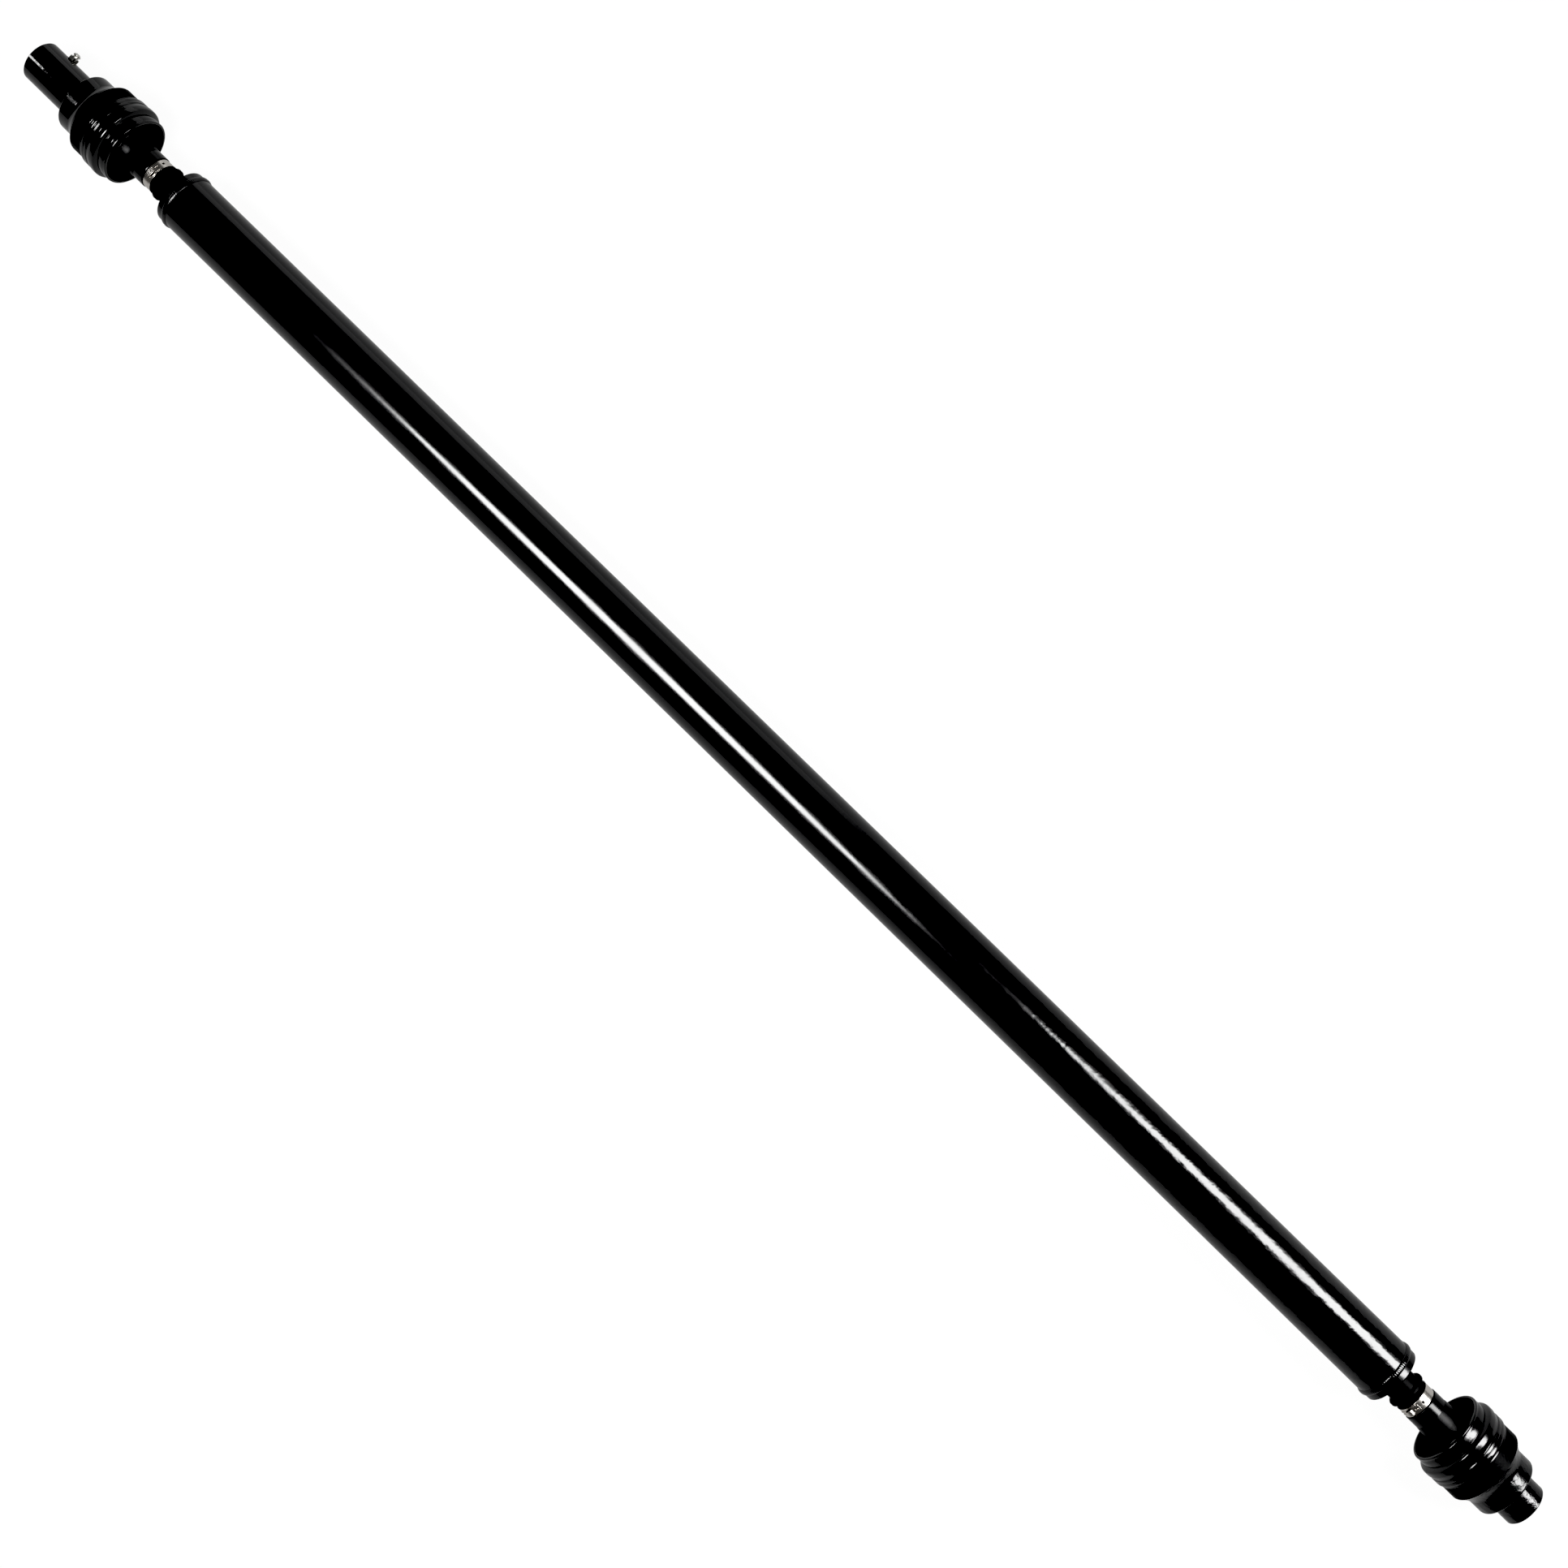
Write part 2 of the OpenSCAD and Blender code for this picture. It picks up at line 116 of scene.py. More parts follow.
def new_piece(name, bm, materials, sharp_angle=32):
    """Turns a bmesh into a piece, smooth but for edges sharper than sharp_angle degrees."""
    bmesh.ops.recalc_face_normals(bm, faces=bm.faces)
    mesh = bpy.data.meshes.new(name)
    bm.to_mesh(mesh)
    bm.free()
    mesh.shade_smooth()
    mesh.set_sharp_from_angle(angle=math.radians(sharp_angle))
    for material in materials:
        mesh.materials.append(material)
    piece = bpy.data.objects.new(name, mesh)
    bpy.context.scene.collection.objects.link(piece)
    return piece


def soften_edges(piece, width, sharp_angle):
    """Rounds a piece's sharp edges a little, so that they catch the light."""
    bevel = piece.modifiers.new("soft_edges", "BEVEL")
    bevel.width = width
    bevel.segments = 2
    bevel.limit_method = "ANGLE"
    bevel.angle_limit = math.radians(sharp_angle)


def arc(centre, radius, start, stop, steps=8, depth=None):
    """(station, radius) points on an arc; angles in degrees from the radial direction."""
    depth = radius if depth is None else depth
    turns = [math.radians(start + (stop - start) * i / steps) for i in range(steps + 1)]
    return [(centre[0] + depth * math.sin(a), centre[1] + radius * math.cos(a)) for a in turns]


def stretch(start, stop, step):
    """Points on a straight stretch of outline, no further apart than step, without its last."""
    count = max(1, math.ceil(math.dist(start, stop) / step))
    run, rise = stop[0] - start[0], stop[1] - start[1]
    return [(start[0] + run * i / count, start[1] + rise * i / count) for i in range(count)]


def filled_in(outline, step):
    """A closed outline with points added along its long stretches."""
    return [p for a, b in zip(outline, outline[1:] + outline[:1]) for p in stretch(a, b, step)]


def softened(points, times=2):
    """An open run of outline points with its corners cut, keeping its ends."""
    for _ in range(times):
        cut = [points[0]]
        for a, b in zip(points, points[1:]):
            cut.append((0.75 * a[0] + 0.25 * b[0], 0.75 * a[1] + 0.25 * b[1]))
            cut.append((0.25 * a[0] + 0.75 * b[0], 0.25 * a[1] + 0.75 * b[1]))
        points = [*cut, points[-1]]
    return points


def join_rings(bm, rings):
    """Joins each closed ring of points to the next one, and the last to the first."""
    for a, b in zip(rings, rings[1:] + rings[:1]):
        for k in range(len(a)):
            n = (k + 1) % len(a)
            bm.faces.new((a[k], a[n], b[n], b[k]))


def turned(end, outline, shape=None, steps=ROUND_STEPS):
    """A closed ring turned from a closed (station, radius) outline.

    shape(station, radius, turn) may return a changed (station, radius).
    """
    bm = bmesh.new()
    rings = []
    for i in range(steps):
        turn = 2 * math.pi * i / steps
        ring = []
        for station, radius in outline:
            if shape:
                station, radius = shape(station, radius, turn)
            ring.append(bm.verts.new(end.place(station, radius, turn)))
        rings.append(ring)
    join_rings(bm, rings)
    return bm


def refined(node, materials, bevel=0.0, choose=None, sharp_angle=34):
    """A smooth-shaded copy of a CAD node with its edges softened, standing for the node.

    choose(middle, normal) picks one of the materials for each face.
    """
    source = frame["nodes"][node]
    bm = bmesh.new()
    bm.from_mesh(source.data)
    bmesh.ops.remove_doubles(bm, verts=bm.verts, dist=2e-6)
    if choose:
        for face in bm.faces:
            face.material_index = choose(face.calc_center_median(), face.normal)
    piece = new_piece(f"{node}_finish", bm, materials, sharp_angle)
    if bevel:
        soften_edges(piece, bevel, sharp_angle)
    flatten = piece.modifiers.new("true_normals", "WEIGHTED_NORMAL")
    flatten.weight = 100
    flatten.keep_sharp = True
    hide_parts(node)
    return piece


# ---------------------------------------------------------------- materials

# Where a colour Mix node keeps its two colours and its result
MIX_FIRST, MIX_SECOND, MIX_RESULT = 6, 7, 2


class Nodes:
    """A short way to build a node material."""

    def __init__(self, name):
        self.material = bpy.data.materials.new(name)
        self.material.use_nodes = True
        self.tree = self.material.node_tree
        self.shader = self.tree.nodes["Principled BSDF"]
        self.place = self.add("ShaderNodeTexCoord").outputs["Object"]

    def add(self, kind, **settings):
        node = self.tree.nodes.new(kind)
        for key, value in settings.items():
            setattr(node, key, value)
        return node

    def link(self, output, socket):
        self.tree.links.new(output, socket)

    def stretched(self, scale):
        """Object coordinates scaled differently along each axis."""
        mapping = self.add("ShaderNodeMapping")
        mapping.inputs["Scale"].default_value = scale
        self.link(self.place, mapping.inputs["Vector"])
        return mapping.outputs["Vector"]

    def along(self):
        """How far along the shaft a point is."""
        split = self.add("ShaderNodeSeparateXYZ")
        self.link(self.place, split.inputs["Vector"])
        return split.outputs["X"]

    def noise(self, scale, detail=2.0, vector=None):
        node = self.add("ShaderNodeTexNoise")
        node.inputs["Scale"].default_value = scale
        node.inputs["Detail"].default_value = detail
        self.link(vector or self.place, node.inputs["Vector"])
        return node.outputs["Fac"]

    def ranged(self, value, low, high, to_low, to_high):
        """A value carried from the range low..high to the range to_low..to_high."""
        node = self.add("ShaderNodeMapRange")
        self.link(value, node.inputs["Value"])
        node.inputs["From Min"].default_value = low
        node.inputs["From Max"].default_value = high
        node.inputs["To Min"].default_value = to_low
        node.inputs["To Max"].default_value = to_high
        return node.outputs["Result"]

    def mixed(self, factor, first, second):
        """A colour between two colours."""
        node = self.add("ShaderNodeMix", data_type="RGBA")
        self.link(factor, node.inputs["Factor"])
        node.inputs[MIX_FIRST].default_value = (*first, 1)
        node.inputs[MIX_SECOND].default_value = (*second, 1)
        return node.outputs[MIX_RESULT]

    def combined(self, first, second, operation="ADD"):
        node = self.add("ShaderNodeMath", operation=operation)
        self.link(first, node.inputs[0])
        self.link(second, node.inputs[1])
        return node.outputs["Value"]

    def bump(self, height, strength, distance, under=None):
        """Bumps from a height, on top of other bumps if there are any under them."""
        node = self.add("ShaderNodeBump")
        node.inputs["Strength"].default_value = strength
        node.inputs["Distance"].default_value = distance
        self.link(height, node.inputs["Height"])
        if under:
            self.link(under, node.inputs["Normal"])
        return node.outputs["Normal"]

    def set(self, **values):
        """Sets the shader's own sockets; an underscore stands for a space."""
        for name, value in values.items():
            self.shader.inputs[name.replace("_", " ")].default_value = value


# Each black is mixed in clouds with its lighter one
BLACK = (0.0012, 0.0012, 0.0014)
WORN_BLACK = (0.0035, 0.0035, 0.0038)
RUBBER_BLACK = (0.0015, 0.0015, 0.0018)
BLOOMED_BLACK = (0.004, 0.004, 0.0045)
PAINT_SHEEN = 0.6


def paint(name, gloss, peel, dust=0.12):
    """Black enamel: orange peel that grows towards the rear, clouds, and flecks of dull dust."""
    n = Nodes(name)
    cloud = n.noise(22, 3)
    clouded = n.ranged(cloud, 0.35, 0.7, gloss, gloss + 0.06)
    flecks = n.ranged(n.noise(1900, 1), 0.68, 0.76, 0, dust)
    n.link(n.combined(clouded, flecks), n.shader.inputs["Roughness"])
    n.link(n.mixed(cloud, BLACK, WORN_BLACK), n.shader.inputs["Base Color"])
    growth = n.ranged(n.along(), 0.2, 0.45, 0.12, 1)
    waves = n.bump(n.combined(n.noise(170, 2), growth, "MULTIPLY"), peel, 0.0006)
    n.link(n.bump(n.noise(620, 2), peel * 0.6, 0.00006, waves), n.shader.inputs["Normal"])
    n.set(Specular_IOR_Level=PAINT_SHEEN)
    return n.material


def forged_paint(name, gloss, skin=0.22, sheen=PAINT_SHEEN):
    """The same enamel over a forging, whose coarser skin shows through."""
    n = Nodes(name)
    cloud = n.noise(40, 4)
    n.link(n.ranged(cloud, 0.3, 0.7, gloss, gloss + 0.08), n.shader.inputs["Roughness"])
    n.link(n.mixed(cloud, BLACK, WORN_BLACK), n.shader.inputs["Base Color"])
    coarse = n.bump(n.noise(260, 3), skin, 0.0006)
    n.link(n.bump(n.noise(900, 2), skin * 0.7, 0.00012, coarse), n.shader.inputs["Normal"])
    n.set(Specular_IOR_Level=sheen)
    return n.material


def rubber(name, roughness, sheen=0.35):
    """Moulded rubber with a fine grain and a little bloom."""
    n = Nodes(name)
    bloom = n.noise(35, 4)
    n.link(n.ranged(bloom, 0.3, 0.75, roughness, roughness + 0.12), n.shader.inputs["Roughness"])
    n.link(n.mixed(bloom, RUBBER_BLACK, BLOOMED_BLACK), n.shader.inputs["Base Color"])
    n.link(n.bump(n.noise(1500, 3), 0.25, 0.00006), n.shader.inputs["Normal"])
    n.set(Specular_IOR_Level=sheen)
    return n.material


def steel(name, dark, light, roughness, grain_axis=None, stain=0.0):
    """Bare or plated steel; going along grain_axis, its fine lines are crossed one by one."""
    n = Nodes(name)
    scale = [160, 160, 160]
    if grain_axis is not None:
        scale = [14, 14, 14]
        scale[grain_axis] = 5200
    lines = n.noise(1, 3, n.stretched(scale))
    patches = n.noise(75, 3)
    n.link(n.ranged(lines, 0.25, 0.75, roughness, roughness + 0.16), n.shader.inputs["Roughness"])
    stained = n.combined(patches, n.ranged(lines, 0, 1, -stain, stain))
    n.link(n.mixed(stained, dark, light), n.shader.inputs["Base Color"])
    n.link(n.bump(lines, 0.12, 0.00005), n.shader.inputs["Normal"])
    n.set(Metallic=1.0)
    return n.material


TUBE_PAINT = paint("tube_gloss_black", 0.13, 0.4)
WELD_PAINT = paint("weld_gloss_black", 0.16, 0.3)
CAN_PAINT = {
    "front": paint("front_can_black", 0.09, 0.1),
    "rear": paint("rear_can_black", 0.13, 0.25),
}
BELL_PAINT = forged_paint("bell_rough_black", 0.42, 0.5, 0.06)
NECK_PAINT = {
    "front": forged_paint("front_neck_black", 0.05, 0.05),
    "rear": forged_paint("rear_neck_black", 0.12, 0.6),
}
CAP_PAINT = forged_paint("end_cap_black", 0.15, 0.12)
COLLAR_PAINT = forged_paint("collar_dull_black", 0.45, 0.3, 0.08)
BOOT_RUBBER = rubber("boot_rubber", 0.13)
DUSTY_RUBBER = rubber("dusty_boot_rubber", 0.3, 0.15)
SEAL_RUBBER = rubber("seal_rubber", 0.5)
BAND_STEEL = steel(
    "stainless_band", (0.56, 0.53, 0.49), (0.76, 0.73, 0.69), 0.17, grain_axis=0, stain=0.3)
ZINC = steel("zinc_plate", (0.6, 0.59, 0.55), (0.86, 0.85, 0.82), 0.14)
BORE_STEEL = steel("machined_bore_steel", (0.3, 0.3, 0.3), (0.5, 0.49, 0.48), 0.25, grain_axis=0)
RACE_STEEL = steel("ground_race_steel", (0.34, 0.34, 0.35), (0.55, 0.55, 0.56), 0.24)
BALL_STEEL = steel("ball_steel", (0.66, 0.66, 0.68), (0.84, 0.84, 0.86), 0.05)
SPRING_STEEL = steel("blued_spring_steel", (0.1, 0.1, 0.12), (0.24, 0.22, 0.2), 0.3)
PLUG_STEEL = steel("plug_steel", (0.4, 0.4, 0.38), (0.62, 0.61, 0.58), 0.3)


# ---------------------------------------------------------------- tube and welds

TUBE_WALL = 2.1 * MM
TUBE_LIP = 0.6 * MM
TUBE_BEVEL = 2.5 * MM
TUBE_STEP = 20 * MM


def make_tube():
    """The tube as a fine closed ring, its ends bevelled down to a thin lip for the welds."""
    low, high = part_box("shaft_tube")
    radius = (high.z - low.z) / 2
    bore_r = radius - TUBE_WALL
    end = ENDS[1]
    first, last = low.x - end.centre, high.x - end.centre
    outline = filled_in([
        (first, bore_r),
        (first, bore_r + TUBE_LIP),
        (first + TUBE_BEVEL, radius),
        (last - TUBE_BEVEL, radius),
        (last, bore_r + TUBE_LIP),
        (last, bore_r),
    ], TUBE_STEP)
    piece = new_piece("tube", turned(end, outline), [TUBE_PAINT], 20)
    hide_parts("shaft_tube")
    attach(piece, "shaft")


WELD_RIPPLES = 84
WELD_STEPS = 12 * WELD_RIPPLES
WELD_CROWN = 1.4 * MM
WELD_ROOT = 1.5 * MM
WELD_SEEDS = {"front": 3.0, "rear": 11.0}


def make_weld(end):
    """Weld bead of overlapping ripples, each a little different."""
    first, last, crown_r = end.span("tube_weld")
    middle = (first + last) / 2
    half = (last - first) / 2
    foot_r = crown_r - WELD_CROWN

    def ripple(station, radius, turn):
        """Ripples are bowed back at the middle, and their heights and the bead's line wander."""
        across = (station - middle) / half
        lag = 0.55 * (1 - across * across)
        phase = (turn * WELD_RIPPLES / (2 * math.pi) + lag) % 1
        scale = 1 - (2 * phase - 1) ** 2
        wander = noise.noise(Vector((math.cos(turn) * 4, math.sin(turn) * 4, WELD_SEEDS[end.name])))
        height = max(0.0, (radius - foot_r) / WELD_CROWN)
        drop = height * (0.2 + 0.12 * (1 - scale) + 0.12 * abs(wander)) * MM
        shift = 0.22 * MM * wander * (1 - abs(across)) if height > 0 else 0
        return station + shift, radius - drop

    crown = arc((middle, foot_r), WELD_CROWN, -86, 82, 24, half)
    outline = [(middle, foot_r - WELD_ROOT), (first, foot_r), *crown, (last, foot_r - 0.2 * MM)]
    piece = new_piece(end.node("weld_bead"), turned(end, outline, ripple, WELD_STEPS), [WELD_PAINT], 60)
    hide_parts(end.node("tube_weld"))
    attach(piece, "shaft")


# ---------------------------------------------------------------- can

CAN_WALL = 1.2 * MM
CAN_LIP_ROLL = 0.9 * MM
# The rim and the inner seat are below the shoulder, and the lip is below the rim
CAN_RIM_DROP = 3.7 * MM
CAN_LIP_DROP = 2.1 * MM
CAN_SEAT_DROP = 2 * MM
# The step from the rim up to the shoulder, from the can's edge
CAN_STEP = 10.3 * MM

# Outlines in millimetres: how far on from where they start, and how far below their crest
CAN_RIM = [(2.2, 0.5), (3, 0.5), (4.6, 0.1), (6, 0.03), (7.8, 0), (9, 0.12), (9.5, 0.2)]
CAN_SHOULDER = [(0.3, 1.1), (0.9, 0.35), (2, 0), (5, 0.02), (6, 0.12), (9, 0.98), (9.7, 0.98)]
CAN_FIRST_RING = [(10.2, 0.5), (11, 0.46), (12.4, 0.5), (12.9, 0.78)]
CAN_SECOND_RING = [(13.4, 0.5), (15.4, 0.5), (16.2, 0.8), (17.1, 1.75)]
CAN_CRIMP = [(17.8, 1.5), (18.4, 1.55), (18.7, 2)]


def pressed(start_x, crest_r, outline):
    """A soft run of points from one of the outlines above."""
    return softened([(start_x + on * MM, crest_r - below * MM) for on, below in outline])


def make_can(end):
    """Stamped can: rolled lip, bulged rim, shoulder falling to a groove, two swaged rings, crimp."""
    first, last, shoulder_r = end.span("boot_can")
    rim_r = shoulder_r - CAN_RIM_DROP
    lip_r = rim_r - CAN_LIP_DROP
    seat_r = shoulder_r - CAN_SEAT_DROP
    step_x = first + CAN_STEP
    mouth_x = step_x + CAN_WALL
    roll = CAN_LIP_ROLL
    rim = [
        *arc((first + 0.5 * MM, lip_r + 0.5 * MM), 0.5 * MM, -180, -90, 4),
        *arc((first + roll, rim_r - roll), roll, -90, 30, 8),
        *pressed(first, rim_r, CAN_RIM),
    ]
    rings = pressed(step_x, shoulder_r, CAN_SHOULDER + CAN_FIRST_RING + CAN_SECOND_RING + CAN_CRIMP)
    inside = [
        (last, seat_r - 0.6 * MM),
        (0.6 * MM, seat_r - 0.6 * MM),
        (-0.4 * MM, seat_r),
        (mouth_x + 0.8 * MM, seat_r),
        (mouth_x, seat_r - 0.8 * MM),
        (mouth_x, rim_r - CAN_WALL),
        (first + 1.2 * MM, rim_r - CAN_WALL),
        (first + 1 * MM, lip_r),
    ]
    piece = new_piece(end.node("stamped_can"), turned(end, rim + rings + inside), [CAN_PAINT[end.name]])
    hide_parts(end.node("boot_can"))
    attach(piece, end.body("hub"))


# ---------------------------------------------------------------- boot

# Radius of the groove in the boot that the clamp's band sits in
BAND_SEAT = 14 * MM
BOOT_WALL = 1.6 * MM
BOOT_SEAT_R = 13 * MM
BOOT_SLEEVE_R = 15.2 * MM
BOOT_LEG_R = 16.8 * MM
BOOT_STEP = 1.2 * MM
BOOT_ROUND_STEPS = 160


class BootPlan:
    """The outlines of a rolled boot in three rings: sleeve with its flare, inner fold, outer fold."""

    def __init__(self, end):
        self.first, self.fold_x, self.bead_r = end.span("boot")
        self.clamp_first, self.clamp_last, _ = end.span("boot_clamp")
        self.rim_x = end.span("boot_can")[0]
        self.swell_x = self.clamp_last + 11 * MM
        self.fold_centre = (self.fold_x - 4.6 * MM, (BOOT_LEG_R + self.bead_r) / 2)

    def quarter(self, start, stop, inset=0.0):
        """A quarter of the fold's section between two angles; inset by the wall, its other face."""
        depth = self.fold_x - self.fold_centre[0]
        reach = (self.bead_r - BOOT_LEG_R) / 2
        return arc(self.fold_centre, reach - inset, start, stop, 14, depth - inset)

    def sleeve(self):
        """From the lip beside the clamp, along the smooth sleeve, out to the start of the fold."""
        lip_r = BAND_SEAT + 0.8 * MM
        inside_r = BOOT_SLEEVE_R - BOOT_WALL
        seat_last = self.clamp_last + 1.4 * MM
        flare_x, flare_r = self.rim_x - 4 * MM, BOOT_LEG_R - 0.5 * MM
        return filled_in([
            (self.first, BOOT_SEAT_R),
            (self.first, lip_r - 0.3 * MM),
            (self.first + 0.3 * MM, lip_r),
            (self.clamp_first - 0.3 * MM, lip_r),
            (self.clamp_first - 0.15 * MM, BAND_SEAT),
            (self.clamp_last + 0.15 * MM, BAND_SEAT),
            (self.clamp_last + 0.25 * MM, BOOT_SLEEVE_R - 0.5 * MM),
            (self.clamp_last + 0.8 * MM, BOOT_SLEEVE_R),
            (self.swell_x, BOOT_SLEEVE_R),
            (self.swell_x + 1.2 * MM, BOOT_SLEEVE_R + 0.15 * MM),
            (flare_x, flare_r),
            (self.fold_centre[0], BOOT_LEG_R + BOOT_WALL),
            (self.fold_centre[0], BOOT_LEG_R),
            (flare_x, flare_r - BOOT_WALL),
            (self.swell_x, inside_r),
            (seat_last + 1 * MM, inside_r),
            (seat_last, BOOT_SEAT_R),
        ], BOOT_STEP)

    def inner_fold(self):
        return self.quarter(180, 90) + self.quarter(180, 90, BOOT_WALL)[::-1]

    def outer_fold(self):
        """The fold's outer half, ending in the bead that the can's rim holds."""
        bead_inside_r = self.bead_r - BOOT_WALL - 0.3 * MM
        bead = [
            (self.rim_x + 3 * MM, bead_inside_r),
            (self.rim_x + 1.6 * MM, bead_inside_r),
            (self.rim_x + 1.5 * MM, self.bead_r - 0.3 * MM),
            (self.rim_x + 1.8 * MM, self.bead_r),
        ]
        return self.quarter(90, 0, BOOT_WALL) + bead + self.quarter(90, 0)[::-1]


def make_boot(end):
    """The rolled boot in three closed rings that meet."""
    plan = BootPlan(end)
    centre_x = plan.fold_centre[0]
    lead, trail, hub = end.body("lead_ball"), end.body("trail_ball"), end.body("hub")
    parts = [
        ("boot_sleeve", plan.sleeve(), "shaft", lead, plan.clamp_last + 2.6 * MM, centre_x),
        ("boot_inner_fold", plan.inner_fold(), lead, trail, centre_x, plan.fold_x),
        ("boot_outer_fold", plan.outer_fold(), trail, hub, plan.fold_x, centre_x),
    ]
    for name, outline, body_a, body_b, start, stop in parts:
        bm = turned(end, outline, None, BOOT_ROUND_STEPS)
        piece = new_piece(end.node(name), bm, [BOOT_RUBBER, DUSTY_RUBBER], 50)
        for face in piece.data.polygons:
            station = end.side * (face.center.x - end.centre)
            dusty = station > plan.swell_x or station < plan.clamp_last + 1 * MM
            face.material_index = int(dusty)
        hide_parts(end.node("boot"))
        end.place(start, 0, 0)
        end.place(stop, 0, 0)
        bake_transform(piece)


# ---------------------------------------------------------------- clamp

# Angles round a clamp are in degrees; all but EAR_TURNS start from the middle of its ear
SHEET = 0.55 * MM
CLAMP_STEP = 1.5
EAR_TURNS = {"front": 10, "rear": 44}
EAR_HALF = 12.0
EAR_RISE = 2.4 * MM
HOLE_AT, HOLE_HALF = -54.0, 4.6
OVERLAP_FROM, OVERLAP_TO = -36.0, 40.0
SLOT_FROM, SLOT_TO = -31.0, -19.0


def add_sheet(bm, rows, columns, point, present, closed):
    """Adds a thick sheet of metal over a grid, with holes where present(row, column) is false.

    point(row, column, layer) is where a grid corner goes, on the inner layer 0 or the outer layer 1.
    A closed sheet's last row meets its first.
    """
    made = {}

    def corner(row, column, layer):
        key = (row % rows if closed else row, column, layer)
        if key not in made:
            made[key] = bm.verts.new(point(*key))
        return made[key]

    def filled(row, column):
        if closed:
            row %= rows
        return 0 <= row < rows and 0 <= column < columns and present(row, column)

    for row in range(rows):
        for column in range(columns):
            if not filled(row, column):
                continue
            ring = [(row, column), (row + 1, column), (row + 1, column + 1), (row, column + 1)]
            for layer in (0, 1):
                bm.faces.new([corner(*at, layer) for at in ring])
            beside = [(row, column - 1), (row + 1, column), (row, column + 1), (row - 1, column)]
            for k, neighbour in enumerate(beside):
                if not filled(*neighbour):
                    a, b = ring[k], ring[(k + 1) % 4]
                    bm.faces.new([corner(*a, 0), corner(*b, 0), corner(*b, 1), corner(*a, 1)])


def add_band(bm, end, ear_turn):
    """The clamp's band; between two rails its middle rises into a pinched ear."""
    first, last, _ = end.span("boot_clamp")
    middle, width = (first + last) / 2, last - first
    rail, slit = 0.2 * width, 0.06 * width
    edges = [first, first + rail, first + rail + slit, middle - 1 * MM,
             middle + 1 * MM, last - rail - slit, last - rail, last]
    slits, hole_column = (1, 5), 3

    def degrees_at(row):
        return (row * CLAMP_STEP + 180) % 360 - 180

    def point(row, column, layer):
        """On the ear, corners between the slits are lifted and drawn in towards its middle."""
        degrees = degrees_at(row)
        radius = BAND_SEAT + layer * SHEET
        turn = degrees
        if abs(degrees) < EAR_HALF and 2 <= column <= 5:
            along = 1 - abs(degrees) / EAR_HALF
            radius += EAR_RISE * min(1, along / 0.34) ** 0.6
            turn *= 1 - 0.22 * min(1, along / 0.5)
        return end.place(edges[column], radius, math.radians(ear_turn + turn))

    def present(row, column):
        """All but the slits beside the ear and one square hole."""
        degrees = degrees_at(row + 0.5)
        if abs(degrees) < EAR_HALF:
            return column not in slits
        return not (abs(degrees - HOLE_AT) < HOLE_HALF and column == hole_column)

    add_sheet(bm, int(360 / CLAMP_STEP), len(edges) - 1, point, present, True)


def add_overlap(bm, end, ear_turn):
    """The band's end lying over it: a slotted tongue before the ear, and two prongs after it."""
    first, last, _ = end.span("boot_clamp")
    middle, width = (first + last) / 2, last - first
    edges = [first + 0.12 * width, middle - 0.22 * width, middle - 0.07 * width,
             middle + 0.07 * width, middle + 0.22 * width, last - 0.12 * width]
    slot_column, prongs = 2, (1, 3)

    def point(row, column, layer):
        """The tongue starts narrower and widens over its first rows."""
        degrees = OVERLAP_FROM + row * CLAMP_STEP
        taper = min(1.0, (row + 1) / 5)
        x = middle + (edges[column] - middle) * (0.7 + 0.3 * taper)
        lift = SHEET + 0.03 * MM + layer * SHEET * 0.8
        return end.place(x, BAND_SEAT + lift, math.radians(ear_turn + degrees))

    def present(row, column):
        degrees = OVERLAP_FROM + (row + 0.5) * CLAMP_STEP
        if abs(degrees) < EAR_HALF + CLAMP_STEP:
            return False
        if degrees > 0:
            return column in prongs
        return not (column == slot_column and SLOT_FROM < degrees < SLOT_TO)

    rows = int((OVERLAP_TO - OVERLAP_FROM) / CLAMP_STEP)
    add_sheet(bm, rows, len(edges) - 1, point, present, False)


def make_clamp(end):
    """Ear clamp: a band with a pinched ear, and its own end lying over it."""
    bm = bmesh.new()
    add_band(bm, end, EAR_TURNS[end.name])
    add_overlap(bm, end, EAR_TURNS[end.name])
    piece = new_piece(end.node("band_clamp"), bm, [BAND_STEEL], 30)
    soften_edges(piece, 0.1 * MM, 30)
    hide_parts(end.node("boot_clamp"))
    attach(piece, "shaft")


# ---------------------------------------------------------------- grease fitting

